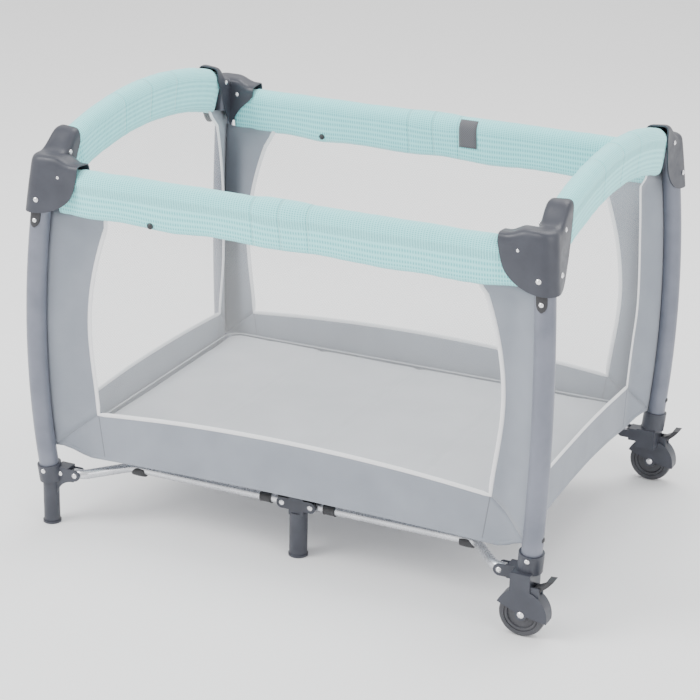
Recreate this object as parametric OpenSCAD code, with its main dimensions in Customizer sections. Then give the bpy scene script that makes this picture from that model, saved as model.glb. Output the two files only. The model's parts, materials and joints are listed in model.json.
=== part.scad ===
/* [Overall] */
// Distance between the corner post axes along the yard
length = 920; // [760:5:1120]
// Distance between the corner post axes across the yard
width = 664; // [560:2:820]
// Height of the straight long top rails
side_rail_z = 664; // [560:2:760]
// Step up from the long rails to the ends of the arched end rails
end_rail_step = 40; // [36:1:50]
// Rise of the arched end rails from their ends to the crown
crown_rise = 42; // [34:1:44]
// Height of the lower rails
low_rail_z = 102; // [94:1:130]

/* [Posts] */
// Outer diameter of the corner post tubes
post_d = 36; // [28:0.5:38]
// How far the posts bow out along the diagonal
post_bow = 30; // [10:1:40]
// Height of the widest point of the bow
bow_z = 360; // [300:5:420]
// Wall of the post tubes
post_wall = 1.2; // [0.8:0.1:2]

/* [Rails] */
// Outer diameter of the top rail tubes
rail_d = 25; // [20:0.5:26]
// Outer diameter of the bent lower rail tubes
low_d = 18; // [14:0.5:19]
// Outer diameter of the cross tubes under the floor
cross_d = 16; // [12:0.5:17]
// Wall of the rail tubes
tube_wall = 1; // [0.8:0.1:1.6]
// Diameter of the pivot pins of the top rails
top_pin_d = 6; // [4:0.5:8]
// Diameter of the pivot pins of the lower frame
low_pin_d = 5; // [4:0.5:6]
// Radial clearance between a pin and its hole
pin_clear = 0.06; // [0.02:0.01:0.1]
// Clearance each side of a tube between two plates
side_clear = 0.7; // [0.4:0.1:1.2]
// Thickness of the moulded plates that hold the pins
plate = 3; // [2.5:0.1:4]

/* [Fold pivots] */
// Corner post axis to the pivot of a long rail, top and bottom
corner_pivot = 44; // [42:1:56]
// Half the distance between the two pivots of a centre joint on the long sides
centre_pivot = 28; // [27:1:36]
// Corner post axis to the pivot of an end rail
end_corner_pivot = 50; // [46:1:60]
// Half the distance between the two pivots of a centre joint on the ends
end_centre_pivot = 66; // [64:1:76]
// Half the distance between the two pivots of the centre hub
hub_pivot = 13; // [12:1:18]
// Axis of a middle foot to the pivot of its cross tube
foot_cross_pivot = 30; // [28:1:34]

/* [Feet and wheels] */
// Diameter of the wheels
wheel_d = 82; // [70:1:90]
// Width of the wheels
wheel_w = 20; // [16:1:24]
// Diameter of the wheel axles
axle_d = 8; // [6:0.5:10]
// Diameter of the legs of the end feet
foot_d = 30; // [24:1:34]
// Diameter of the legs of the middle feet
midfoot_d = 33; // [26:1:36]
// Length of the brake pedals past the wheel centre
pedal_reach = 54; // [46:1:64]

/* [Soft parts] */
// Half thickness of the padded rail covers at the tube
cover_top_r = 20.5; // [19:0.5:24]
// Half thickness of the padded rail covers at their lower edge
cover_low_r = 11.5; // [8:0.5:13]
// The same on the arched end rails, where the cover hides the tall centre latch
end_cover_low_r = 17.5; // [17:0.5:20]
// Depth of the rail covers below the tube
cover_drop = 66; // [50:1:80]
// Thickness of the wall fabric
fabric = 2; // [1:0.5:3]
// Thickness of the mattress
mattress_h = 28; // [16:1:50]
// Height of the fabric floor
floor_z = 146; // [136:1:180]

/* [Hidden] */
$fn = 64;
post_x = length / 2;
post_y = width / 2;
end_rail_z = side_rail_z + end_rail_step;
pivot_x = post_x - corner_pivot;
pivot_y = post_y - end_corner_pivot;
post_r = post_d / 2;
rail_r = rail_d / 2;
low_r = low_d / 2;
cross_r = cross_d / 2;
top_pin_r = top_pin_d / 2;
low_pin_r = low_pin_d / 2;
// straight stretch of a tube past its pivot
stub = 12;
low_stub = 9;
cross_stub = 8;
// gaps inside the plates of the top and the lower joints, each side of the tube's middle plane
top_gap = rail_r + side_clear;
low_gap = low_r + 1.2;
cross_gap = cross_r + side_clear;
// free circle round a pivot that the end of a tube sweeps
top_sweep = norm([stub, rail_r]) + 1.2;
low_sweep = norm([low_stub, low_r]) + 1;
cross_sweep = norm([cross_stub, cross_r]) + 0.8;

// posts: an arc in the vertical diagonal plane of each corner
post_top_z = side_rail_z + 36;
bow_h = post_top_z - bow_z;
bow_r = (bow_h * bow_h + post_bow * post_bow) / (2 * post_bow);
function post_out(z) = (post_bow - bow_r + sqrt(bow_r * bow_r - (z - bow_z) * (z - bow_z))) / sqrt(2);
foot_post_z = low_rail_z - 6;
caster_post_z = low_rail_z + 24;

// end rails: an arc through both corner pivots and the crown
arch_r = (pivot_y * pivot_y + crown_rise * crown_rise) / (2 * crown_rise);
arch_z = end_rail_z + crown_rise - arch_r;
function arch_height(y) = arch_z + sqrt(arch_r * arch_r - y * y);
// the swept end of an end rail stays just short of the middle plane
crown_lift = arch_height(end_centre_pivot) - end_rail_z;
crown_stub = sqrt(pow(end_centre_pivot - 6, 2) - pow(crown_lift + rail_r, 2));

// lower frame: the rails step in from the posts so that the cross tubes fold with the end rails
low_y = pivot_y - end_centre_pivot + hub_pivot + foot_cross_pivot;
bend_x = post_x - 117;
bend_in_x = pivot_x - 12;
cross_out_y = low_y - foot_cross_pivot;

// casters
wheel_r = wheel_d / 2;
wheel_x = post_x + 8;
wheel_y = post_y + 27;
cheek_in = wheel_w / 2 + 0.6;
cheek_out = cheek_in + plate;
hood_r = wheel_r + 2.5;
pedal_x = wheel_x + 25;
pedal_z = wheel_r + 49;
pedal_pin_r = 2.5;

// soft parts
cap_reach = 70;
// the walls hang just inside the rails, clear of where these fold
wall_in = cover_top_r + fabric / 2 + 0.5;
wall_x = post_x - wall_in;
wall_y = post_y - wall_in;
cover_gap = 1;
mattress_z = floor_z + fabric + 0.5;
right_reach = wheel_x + pedal_reach;
left_reach = post_x + post_bow / sqrt(2) + post_r;
middle_x = (right_reach - left_reach) / 2;

plastic = [0.38, 0.38, 0.42];
steel_grey = [0.60, 0.62, 0.68];
silver = [0.75, 0.76, 0.78];
mint = [0.72, 0.88, 0.87];
grey_fabric = [0.66, 0.68, 0.71];
white_mesh = [0.93, 0.93, 0.93];

// ---------- helpers ----------
// shapes are drawn for the back right quarter and mirrored to the others
module quarter(sx, sy) {
    translate([-middle_x, 0, 0])
        mirror([sx < 0 ? 1 : 0, 0, 0])
        mirror([0, sy < 0 ? 1 : 0, 0])
        children();
}
module centred() {
    translate([-middle_x, 0, 0]) children();
}
module along_x(x0, x1, y, z, r) {
    translate([x0, y, z]) rotate([0, 90, 0]) cylinder(r = r, h = x1 - x0);
}
module along_y(y0, y1, x, z, r) {
    translate([x, y0, z]) rotate([-90, 0, 0]) cylinder(r = r, h = y1 - y0);
}
module span(lo, hi) {
    translate(lo) cube([hi[0] - lo[0], hi[1] - lo[1], hi[2] - lo[2]]);
}
// a 2D outline in X and Z given a thickness in Y, and one in Y and Z given a thickness in X
module thick_y(y0, y1) {
    translate([0, y1, 0]) rotate([90, 0, 0]) linear_extrude(y1 - y0) children();
}
module thick_x(x0, x1) {
    translate([x0, 0, 0]) rotate([90, 0, 90]) linear_extrude(x1 - x0) children();
}
module slot_shape(half, r) {
    square([2 * half, 2 * r], center = true);
    for (s = [-1, 1])
        translate([s * half, 0]) circle(r);
}

// ---------- posts ----------
module post_arc(z0, z1, r_out, r_in) {
    a0 = asin((z0 - bow_z) / bow_r);
    a1 = asin((z1 - bow_z) / bow_r);
    out = (post_bow - bow_r) / sqrt(2);
    translate([post_x + out, post_y + out, bow_z])
        rotate([0, 0, 45])
        rotate([90, 0, 0])
        rotate([0, 0, a0])
        rotate_extrude(angle = a1 - a0, $fn = 96)
        translate([bow_r, 0])
        difference() {
            circle(r_out, $fn = 48);
            if (r_in > 0)
                circle(r_in, $fn = 48);
        }
}
module post(sx, sy) {
    bottom = sx < 0 ? foot_post_z : caster_post_z;
    color(steel_grey)
        quarter(sx, sy)
        post_arc(bottom, post_top_z, post_r, post_r - post_wall);
}

// ---------- corner caps ----------
// side outline of the arm that holds a long rail; g grows it for the covers' cut-outs
module side_arm(g) {
    e = post_x - cap_reach;
    offset_top = side_rail_z + 28;
    polygon([[e - g, offset_top + g], [e - g, side_rail_z + 8], [e + 5 - g, side_rail_z - 12 - g],
        [e + 16 - g, side_rail_z - 32 - g], [e + 32 - g, side_rail_z - 48 - g],
        [e + 50, side_rail_z - 58 - g], [post_x, side_rail_z - 61 - g],
        [post_x + post_r, side_rail_z - 61 - g], [post_x + post_r, post_top_z + 10 + g],
        [post_x, post_top_z + 12 + g], [e + 38, side_rail_z + 31 + g], [e + 22, side_rail_z + 27 + g]]);
}
// side outline of the arm that holds an end rail, in Y and Z
module end_arm(g) {
    e = post_y - cap_reach - 2;
    polygon([[e - g, end_rail_z + 27 + g], [e - g, end_rail_z - 20], [e + 6 - g, end_rail_z - 44 - g],
        [e + 18 - g, end_rail_z - 66 - g], [e + 34 - g, end_rail_z - 84 - g],
        [e + 52, end_rail_z - 98 - g], [post_y, side_rail_z - 61 - g],
        [post_y + post_r, side_rail_z - 61 - g], [post_y + post_r, post_top_z + 10 + g],
        [post_y, post_top_z + 12 + g], [e + 36, end_rail_z + 19 + g], [e + 14, end_rail_z + 28 + g]]);
}
cap_mouth_z = arch_height(post_y - cap_reach - 2) + rail_r + 2 * side_clear;
module corner_cap(sx, sy) {
    arm = top_gap + plate + 0.8;
    color(plastic) quarter(sx, sy) {
        difference() {
            union() {
                thick_y(post_y - arm, post_y + arm) side_arm(0);
                thick_x(post_x - arm, post_x + arm) end_arm(0);
                post_arc(side_rail_z - 60, post_top_z + 10, post_r + 5, 0);
            }
            post_arc(side_rail_z - 90, post_top_z, post_r, 0);
            span([post_x - cap_reach - 10, post_y - top_gap, side_rail_z - 90],
                [pivot_x + top_sweep, post_y + top_gap, side_rail_z + top_sweep]);
            span([post_x - top_gap, post_y - cap_reach - 12, side_rail_z - 90],
                [post_x + top_gap, pivot_y + top_sweep, end_rail_z + top_sweep]);
            // the arch is still falling where the rail enters the cap
            span([post_x - top_gap, post_y - cap_reach - 12, end_rail_z],
                [post_x + top_gap, post_y - cap_reach + 10, cap_mouth_z]);
        }
        along_y(post_y - arm + 1, post_y + arm - 1, pivot_x, side_rail_z, top_pin_r);
        along_x(post_x - arm + 1, post_x + arm - 1, pivot_y, end_rail_z, top_pin_r);
    }
}

// ---------- top rails ----------
module long_rail(sx, sy) {
    x0 = centre_pivot - stub;
    x1 = pivot_x + stub;
    color(silver) quarter(sx, sy)
        difference() {
            along_x(x0, x1, post_y, side_rail_z, rail_r);
            along_x(x0 - 1, x1 + 1, post_y, side_rail_z, rail_r - tube_wall);
            for (x = [centre_pivot, pivot_x])
                along_y(post_y - rail_r - 1, post_y + rail_r + 1, x, side_rail_z, top_pin_r + pin_clear);
        }
}
// a length of the end arch from y0 to y1 with the 2D shape (across, up) as its section
module on_arch(y0, y1) {
    a0 = asin(y0 / arch_r);
    a1 = asin(y1 / arch_r);
    translate([post_x, 0, arch_z])
        rotate([90, 0, 90])
        rotate([0, 0, 90 - a1])
        rotate_extrude(angle = a1 - a0, $fn = 96)
        translate([arch_r, 0])
        rotate([0, 0, -90])
        children();
}
module end_rail(sx, sy) {
    y0 = end_centre_pivot - crown_stub;
    y1 = pivot_y + stub;
    boss = rail_r + 0.3;
    color(silver) quarter(sx, sy)
        difference() {
            union() {
                on_arch(y0, y1)
                    difference() {
                        circle(rail_r);
                        circle(rail_r - tube_wall);
                    }
                span([post_x - plate, end_centre_pivot - 7, end_rail_z],
                    [post_x + plate, end_centre_pivot + 7, arch_height(end_centre_pivot + 7) - rail_r + 0.9]);
                along_x(post_x - boss, post_x + boss, end_centre_pivot, end_rail_z, top_pin_r + 5);
            }
            for (y = [end_centre_pivot, pivot_y])
                along_x(post_x - rail_r - 2, post_x + rail_r + 2, y, end_rail_z, top_pin_r + pin_clear);
        }
}

// ---------- centre latches of the top rails ----------
latch_half = top_gap + 2.3;
web_half = centre_pivot - top_sweep - 0.4;
button_x = 9.4;
button_y = 11.4;
button_clear = 0.3;
module long_latch(sy) {
    color(plastic) quarter(1, sy) {
        difference() {
            union() {
                for (s = [-1, 1])
                    translate([0, post_y + s * (top_gap + latch_half) / 2, side_rail_z])
                        rotate([90, 0, 0])
                        linear_extrude(latch_half - top_gap, center = true)
                        slot_shape(centre_pivot, 11);
                span([-web_half, post_y - latch_half, side_rail_z - 13],
                    [web_half, post_y + latch_half, side_rail_z + 16]);
            }
            span([-button_x / 2 - button_clear, post_y - button_y / 2 - button_clear, side_rail_z - 20],
                [button_x / 2 + button_clear, post_y + button_y / 2 + button_clear, side_rail_z + 9.5]);
        }
        for (s = [-1, 1])
            along_y(post_y - latch_half + 0.5, post_y + latch_half - 0.5, s * centre_pivot, side_rail_z, top_pin_r);
    }
}
module long_button(sy) {
    color([0.25, 0.25, 0.28]) quarter(1, sy)
        span([-button_x / 2, post_y - button_y / 2, side_rail_z - 18],
            [button_x / 2, post_y + button_y / 2, side_rail_z + 5]);
}
crown_z = end_rail_z + crown_rise;
bridge_z = crown_z - 4;
bridge_half = 13;
end_ear = 8;
ear_y = end_centre_pivot + end_ear;
module end_latch(sx) {
    color(plastic) quarter(sx, 1) {
        difference() {
            union() {
                for (s = [-1, 1])
                    translate([post_x + s * (top_gap + latch_half) / 2, 0, 0])
                        rotate([90, 0, 90])
                        linear_extrude(latch_half - top_gap, center = true)
                        polygon([[-ear_y, end_rail_z - 6], [ear_y, end_rail_z - 6], [ear_y, end_rail_z + end_ear],
                            [bridge_half, crown_z + 11], [-bridge_half, crown_z + 11],
                            [-ear_y, end_rail_z + end_ear]]);
                span([post_x - latch_half, -bridge_half, bridge_z], [post_x + latch_half, bridge_half, crown_z + 11]);
            }
            span([post_x - button_y / 2 - button_clear, -4.5 - button_clear, bridge_z - 1],
                [post_x + button_y / 2 + button_clear, 4.5 + button_clear, crown_z + 6]);
        }
        for (s = [-1, 1])
            along_x(post_x - latch_half + 0.5, post_x + latch_half - 0.5, s * end_centre_pivot, end_rail_z, top_pin_r);
    }
}
module end_button(sx) {
    color([0.25, 0.25, 0.28]) quarter(sx, 1)
        span([post_x - button_y / 2, -4.5, bridge_z - 8], [post_x + button_y / 2, 4.5, crown_z + 1.5]);
}

// ---------- lower frame ----------
// from the middle foot outwards: a straight tube, an elbow, a diagonal tube and a flattened end.
// the two tubes stop short of the bend, so that only the elbow joins them
elbow_gap = 5;
elbow_r = low_r + 2.5;
elbow_wall = 2;
flat_lap = 8;
drain_r = 2;
flat_half = low_r + 0.2;
diagonal = [bend_in_x - bend_x, post_y - low_y];
module along_diagonal(from, to, r) {
    translate([bend_x, low_y, low_rail_z])
        rotate([0, 0, atan2(diagonal[1], diagonal[0])])
        rotate([0, 90, 0])
        translate([0, 0, from])
        cylinder(r = r, h = to - from);
}
module low_rail(sx, sy) {
    bore = low_r - tube_wall;
    middle = [bend_x, low_y] + diagonal / 2;
    color(silver) quarter(sx, sy)
        difference() {
            union() {
                along_x(centre_pivot - low_stub, bend_x - elbow_gap, low_y, low_rail_z, low_r);
                translate([bend_x, low_y, low_rail_z - elbow_r]) cylinder(r = elbow_r, h = 2 * elbow_r);
                along_diagonal(elbow_gap, norm(diagonal), low_r);
                span([bend_in_x - flat_lap, post_y - flat_half, low_rail_z - flat_half],
                    [pivot_x + low_stub, post_y + flat_half, low_rail_z + flat_half]);
            }
            along_x(centre_pivot - low_stub - 1, bend_x - elbow_r - elbow_wall, low_y, low_rail_z, bore);
            // the diagonal tube's own bore, with its drain hole
            along_diagonal(elbow_r + elbow_wall, norm(diagonal) - elbow_r - flat_lap + elbow_wall, bore);
            translate([middle[0], middle[1], low_rail_z - low_r - 1]) cylinder(r = drain_r, h = low_r);
            along_y(low_y - low_r - 1, low_y + low_r + 1, centre_pivot, low_rail_z, low_pin_r + pin_clear);
            along_y(post_y - low_r - 2, post_y + low_r + 2, pivot_x, low_rail_z, low_pin_r + pin_clear);
        }
}
module cross_tube(sy) {
    y0 = hub_pivot - cross_stub;
    y1 = cross_out_y + cross_stub;
    color(silver) quarter(1, sy)
        difference() {
            along_y(y0, y1, 0, low_rail_z, cross_r);
            along_y(y0 - 1, y1 + 1, 0, low_rail_z, cross_r - tube_wall);
            for (y = [hub_pivot, cross_out_y])
                along_x(-cross_r - 1, cross_r + 1, y, low_rail_z, low_pin_r + pin_clear);
        }
}
module midfoot(sy) {
    web = centre_pivot - low_sweep - 0.3;
    out = low_gap + plate;
    color(plastic) quarter(1, sy) {
        translate([0, low_y, 0]) cylinder(d = midfoot_d, h = low_rail_z - 16);
        translate([0, low_y, 0]) cylinder(d = midfoot_d + 3, h = 4);
        span([-web, low_y - out, low_rail_z - 20], [web, low_y + out, low_rail_z + 13]);
        for (s = [-1, 1])
            translate([0, low_y + s * (low_gap + out) / 2, low_rail_z])
                rotate([90, 0, 0])
                linear_extrude(plate, center = true)
                slot_shape(centre_pivot, 10.5);
        for (s = [-1, 1])
            along_y(low_y - out + 0.5, low_y + out - 0.5, s * centre_pivot, low_rail_z, low_pin_r);
        for (s = [-1, 1])
            span([s * (cross_gap + plate / 2) - plate / 2, cross_out_y - 8, low_rail_z - 8],
                [s * (cross_gap + plate / 2) + plate / 2, low_y - low_gap, low_rail_z + 8]);
        along_x(-cross_gap - 1, cross_gap + 1, cross_out_y, low_rail_z, low_pin_r);
    }
}
module centre_hub() {
    color(plastic) centred() {
        for (s = [-1, 1])
            translate([s * (cross_gap + plate / 2), 0, low_rail_z])
                rotate([90, 0, 90])
                linear_extrude(plate, center = true) {
                    slot_shape(hub_pivot, 9);
                    translate([-hub_pivot - 9, 0])
                        square([2 * hub_pivot + 18, cross_sweep + 4]);
                }
        span([-cross_gap - plate, -hub_pivot - 9, low_rail_z + cross_sweep + 0.5],
            [cross_gap + plate, hub_pivot + 9, low_rail_z + cross_sweep + 4]);
        for (s = [-1, 1])
            along_x(-cross_gap - 1, cross_gap + 1, s * hub_pivot, low_rail_z, low_pin_r);
    }
}
module pull_strap() {
    base = low_rail_z + cross_sweep + 4;
    top = floor_z + fabric / 2;
    color([0.2, 0.2, 0.22]) centred()
        thick_x(-12, 12)
        difference() {
            translate([-9, base]) square([18, top - base]);
            translate([-7, base + 2]) square([14, top - base - 4]);
        }
}

// ---------- feet ----------
// the two plates of a lower corner joint, and the web that ties them to the post socket
module low_clevis() {
    out = low_gap + plate;
    along_y(post_y + low_gap, post_y + out, pivot_x, low_rail_z, 10.5);
    along_y(post_y - out, post_y - low_gap, pivot_x, low_rail_z, 7.5);
    along_y(post_y - out + 0.5, post_y + out - 0.5, pivot_x, low_rail_z, low_pin_r);
    span([pivot_x, post_y - out, low_rail_z - 7.5], [pivot_x + low_sweep + 1, post_y - low_gap, low_rail_z + 7.5]);
    span([pivot_x, post_y + low_gap, low_rail_z - 10.5], [pivot_x + low_sweep + 1, post_y + out, low_rail_z + 10.5]);
    span([pivot_x + low_sweep, post_y - out, low_rail_z - 12], [post_x - 4, post_y + out, low_rail_z + 12]);
}
module foot(sy) {
    x = post_x + post_out(foot_post_z);
    y = post_y + post_out(foot_post_z);
    out = low_gap + plate;
    color(plastic) quarter(-1, sy)
        difference() {
            union() {
                post_arc(foot_post_z - 10, low_rail_z + 16, post_r + 4, 0);
                translate([x, y, 0]) cylinder(d = foot_d, h = foot_post_z);
                translate([x, y, 0]) cylinder(d = foot_d + 4, h = 4);
                low_clevis();
                thick_y(post_y + low_gap, post_y + out)
                    difference() {
                        polygon([[pivot_x, low_rail_z - 10.5], [x, low_rail_z - 10.5], [x, 40],
                            [x - foot_d / 2 + 1, 40]]);
                        translate([pivot_x + 2, 52]) circle(37);
                    }
            }
            post_arc(foot_post_z, low_rail_z + 40, post_r, 0);
        }
}
module cheek_outline() {
    circle(axle_d / 2 + 6);
    difference() {
        polygon([[0, 0], [hood_r * 2, -14], [hood_r * 2, hood_r * 2], [-hood_r * 2, hood_r * 2], [-44, 18]]);
        difference() {
            circle(hood_r * 4);
            circle(hood_r + plate);
        }
    }
}
module caster_bracket(sy) {
    color(plastic) quarter(1, sy)
        difference() {
            union() {
                // column between the post and the hood
                post_arc(caster_post_z - 12, low_rail_z + 46, post_r + 4, 0);
                span([post_x - 14, post_y - low_gap - plate, low_rail_z - 24],
                    [post_x + 22, wheel_y + cheek_out, low_rail_z + 14]);
                low_clevis();
                // hood: two cheeks and a rim
                translate([wheel_x, 0, wheel_r])
                    thick_y(wheel_y - cheek_out, wheel_y + cheek_out)
                    cheek_outline();
                // ears for the pedal pin
                for (s = [-1, 1])
                    span([pedal_x - 14, wheel_y + s * 9.5 - 1.5, pedal_z - 14],
                        [pedal_x + 5, wheel_y + s * 9.5 + 1.5, pedal_z + 5]);
                along_y(wheel_y - 9, wheel_y + 9, pedal_x, pedal_z, pedal_pin_r);
            }
            post_arc(caster_post_z, low_rail_z + 60, post_r, 0);
            along_y(wheel_y - cheek_in, wheel_y + cheek_in, wheel_x, wheel_r, hood_r);
            along_y(wheel_y - 40, wheel_y + 40, wheel_x, wheel_r, axle_d / 2);
            span([pedal_x - 8.5, wheel_y - 8, pedal_z - 6.5], [pedal_x - pedal_pin_r - 0.1, wheel_y + 8, pedal_z + 8]);
            // room for the brake pedal's boss round its pin
            difference() {
                along_y(wheel_y - 8, wheel_y + 8, pedal_x, pedal_z, 7);
                along_y(wheel_y - 9, wheel_y + 9, pedal_x, pedal_z, pedal_pin_r);
            }
        }
}
module wheel(sy) {
    w = wheel_w / 2;
    bore = axle_d / 2 + 0.08;
    color([0.36, 0.36, 0.40]) quarter(1, sy)
        translate([wheel_x, wheel_y, wheel_r])
        rotate([90, 0, 0])
        rotate_extrude($fn = 96)
        polygon([[bore, -w], [13, -w], [14, -w + 3], [24, -w + 3], [25.5, -w], [29, -w], [29.5, -w + 1.5],
            [31, -w + 1.5], [31.5, -w], [wheel_r - 4, -w], [wheel_r - 1.2, -w + 1.6], [wheel_r, -w + 5],
            [wheel_r, w - 5], [wheel_r - 1.2, w - 1.6], [wheel_r - 4, w], [31.5, w], [31, w - 1.5],
            [29.5, w - 1.5], [29, w], [25.5, w], [24, w - 3], [14, w - 3], [13, w], [bore, w]]);
}
module wheel_axle(sy) {
    color(silver) quarter(1, sy)
        translate([wheel_x, wheel_y, wheel_r])
        rotate([90, 0, 0])
        rotate_extrude($fn = 48)
        polygon([[0, -cheek_out - 2.2], [3.5, -cheek_out - 2], [6, -cheek_out], [axle_d / 2, -cheek_out],
            [axle_d / 2, cheek_out], [6, cheek_out], [3.5, cheek_out + 2], [0, cheek_out + 2.2]]);
}
module brake_pedal(sy) {
    tip = right_reach;
    bore = pedal_pin_r + pin_clear;
    color([0.30, 0.30, 0.32]) quarter(1, sy)
        difference() {
            union() {
                along_y(wheel_y - 7.6, wheel_y + 7.6, pedal_x, pedal_z, 6.4);
                thick_y(wheel_y - 7.6, wheel_y + 7.6)
                    polygon([[pedal_x, pedal_z - 4], [tip - 14, pedal_z + 9], [tip - 14, pedal_z + 14],
                        [pedal_x, pedal_z + 6]]);
                thick_y(wheel_y - 12, wheel_y + 12)
                    polygon([[pedal_x + 9, pedal_z + 2], [tip - 8, pedal_z + 13], [tip, pedal_z + 23],
                        [tip - 12, pedal_z + 22], [pedal_x + 9, pedal_z + 9]]);
            }
            along_y(wheel_y - 20, wheel_y + 20, pedal_x, pedal_z, bore);
        }
}

// ---------- padded rail covers ----------
// section across the rail: a round top over the tube and a rounded lower edge of radius low
module cover_section(low) {
    lean = asin((cover_top_r - low) / (cover_drop - low));
    difference() {
        polygon(concat(
            [for (i = [0:16]) let (a = -lean + i * (180 + 2 * lean) / 16) cover_top_r * [cos(a), sin(a)]],
            [for (i = [0:8]) let (a = 180 + lean + i * (180 - 2 * lean) / 8)
                [0, low - cover_drop] + low * [cos(a), sin(a)]]));
        circle(rail_r + 0.4);
    }
}
// the covers leave room for the centre latches and for the corner caps
module long_cover(sx, sy) {
    x1 = post_x - post_r - 8;
    color(mint) quarter(sx, sy)
        difference() {
            translate([0.5, post_y, side_rail_z])
                rotate([90, 0, 90])
                linear_extrude(x1 - 0.5)
                cover_section(cover_low_r);
            span([-1, post_y - latch_half - 0.4, side_rail_z - 21],
                [centre_pivot + 12, post_y + latch_half + 0.4, side_rail_z + 17]);
            thick_y(post_y - cover_top_r - 2, post_y + cover_top_r + 2) side_arm(cover_gap);
        }
}
module end_cover(sx, sy) {
    y1 = post_y - post_r - 8;
    color(mint) quarter(sx, sy)
        difference() {
            on_arch(0.5, y1) cover_section(end_cover_low_r);
            span([post_x - latch_half - 0.4, -1, end_rail_z - 10],
                [post_x + latch_half + 0.4, end_centre_pivot + 12, end_rail_z + 9]);
            // clears the latch's sloping ears and the rail's stem down to its pivot
            span([post_x - latch_half - 0.4, -1, end_rail_z],
                [post_x + latch_half + 0.4, ear_y + cover_gap, crown_z + 12]);
            thick_x(post_x - cover_top_r - 2, post_x + cover_top_r + 2) end_arm(cover_gap);
        }
}

// ---------- fabric walls, floor and mattress ----------
side_hem = floor_z - 9;
side_top = side_rail_z - cover_drop - cover_gap;
side_half = post_x - post_r - 4;
module side_window(g) {
    polygon([[-post_x + 80 - g, 233 - g], [0, 247 - g], [post_x - 80 + g, 233 - g],
        [post_x - 65 + g, (233 + side_top) / 2], [post_x - 102 + g, side_top - 12 + g],
        [-post_x + 102 - g, side_top - 12 + g], [-post_x + 65 - g, (233 + side_top) / 2]]);
}
module side_wall(sy) {
    color(grey_fabric) quarter(1, sy)
        thick_y(wall_y - fabric / 2, wall_y + fabric / 2)
        difference() {
            polygon([[-side_half, side_hem], [-side_half + 90, side_hem + 13], [side_half - 90, side_hem + 13],
                [side_half, side_hem], [side_half, side_top], [-side_half, side_top]]);
            side_window(0);
        }
}
end_half = wall_y - fabric / 2 - 2;
function end_top(y) = arch_z + sqrt(pow(arch_r - cover_drop - cover_gap - 1, 2) - y * y);
module end_window(g) {
    polygon(concat([[-end_half + 42 - g, 228 - g], [0, 246 - g], [end_half - 42 + g, 228 - g],
            [end_half - 36 + g, 420]],
        [for (i = [4:-1:-4]) [i * (end_half - 62 + g) / 4, end_top(i * (end_half - 62) / 4) - 12 + g]],
        [[-end_half + 36 - g, 420]]));
}
module end_wall(sx) {
    color(grey_fabric) quarter(sx, 1)
        thick_x(wall_x - fabric / 2, wall_x + fabric / 2)
        difference() {
            polygon(concat([[-end_half, floor_z + 6], [0, floor_z + 22], [end_half, floor_z + 6]],
                [for (i = [6:-1:-6]) [i * end_half / 6, end_top(i * end_half / 6)]]));
            end_window(0);
        }
}
module mesh_windows() {
    color(white_mesh) {
        for (s = [-1, 1]) {
            quarter(1, s)
                thick_y(wall_y - fabric / 2 - 1, wall_y - fabric / 2)
                side_window(5);
            quarter(s, 1)
                thick_x(wall_x - fabric / 2 - 1, wall_x - fabric / 2)
                end_window(5);
        }
    }
}
module rounded_slab(x, y, z0, z1, r) {
    span([-x + r, -y, z0], [x - r, y, z1]);
    span([-x, -y + r, z0], [x, y - r, z1]);
    for (sx = [-1, 1])
        for (sy = [-1, 1])
            translate([sx * (x - r), sy * (y - r), z0]) cylinder(r = r, h = z1 - z0);
}
module floor_panel() {
    color(grey_fabric) centred()
        difference() {
            rounded_slab(wall_x - fabric - 3, wall_y - fabric - 2, floor_z, floor_z + fabric, 14);
            span([-16, -12, floor_z - 1], [16, 12, floor_z + fabric + 1]);
        }
}
module mattress() {
    color([0.80, 0.80, 0.82]) centred()
        rounded_slab(wall_x - 8, wall_y - 13, mattress_z, mattress_z + mattress_h, 30);
}

post(-1, -1);  // post_fl
post(1, -1);  // post_fr
post(-1, 1);  // post_bl
post(1, 1);  // post_br
corner_cap(-1, -1);  // corner_cap_fl
corner_cap(1, -1);  // corner_cap_fr
corner_cap(-1, 1);  // corner_cap_bl
corner_cap(1, 1);  // corner_cap_br
foot(-1);  // foot_fl
foot(1);  // foot_bl
caster_bracket(-1);  // caster_bracket_fr
caster_bracket(1);  // caster_bracket_br
wheel(-1);  // wheel_fr
wheel(1);  // wheel_br
wheel_axle(-1);  // wheel_axle_fr
wheel_axle(1);  // wheel_axle_br
brake_pedal(-1);  // brake_pedal_fr
brake_pedal(1);  // brake_pedal_br
long_rail(-1, -1);  // rail_front_l
long_rail(1, -1);  // rail_front_r
long_rail(-1, 1);  // rail_back_l
long_rail(1, 1);  // rail_back_r
end_rail(-1, -1);  // rail_left_f
end_rail(-1, 1);  // rail_left_b
end_rail(1, -1);  // rail_right_f
end_rail(1, 1);  // rail_right_b
long_latch(-1);  // latch_front
long_latch(1);  // latch_back
end_latch(-1);  // latch_left
end_latch(1);  // latch_right
long_button(-1);  // button_front
long_button(1);  // button_back
end_button(-1);  // button_left
end_button(1);  // button_right
low_rail(-1, -1);  // low_rail_front_l
low_rail(1, -1);  // low_rail_front_r
low_rail(-1, 1);  // low_rail_back_l
low_rail(1, 1);  // low_rail_back_r
midfoot(-1);  // midfoot_front
midfoot(1);  // midfoot_back
cross_tube(-1);  // cross_tube_front
cross_tube(1);  // cross_tube_back
centre_hub();
pull_strap();
long_cover(-1, -1);  // cover_front_l
long_cover(1, -1);  // cover_front_r
long_cover(-1, 1);  // cover_back_l
long_cover(1, 1);  // cover_back_r
end_cover(-1, -1);  // cover_left_f
end_cover(-1, 1);  // cover_left_b
end_cover(1, -1);  // cover_right_f
end_cover(1, 1);  // cover_right_b
side_wall(-1);  // wall_front
side_wall(1);  // wall_back
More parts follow.
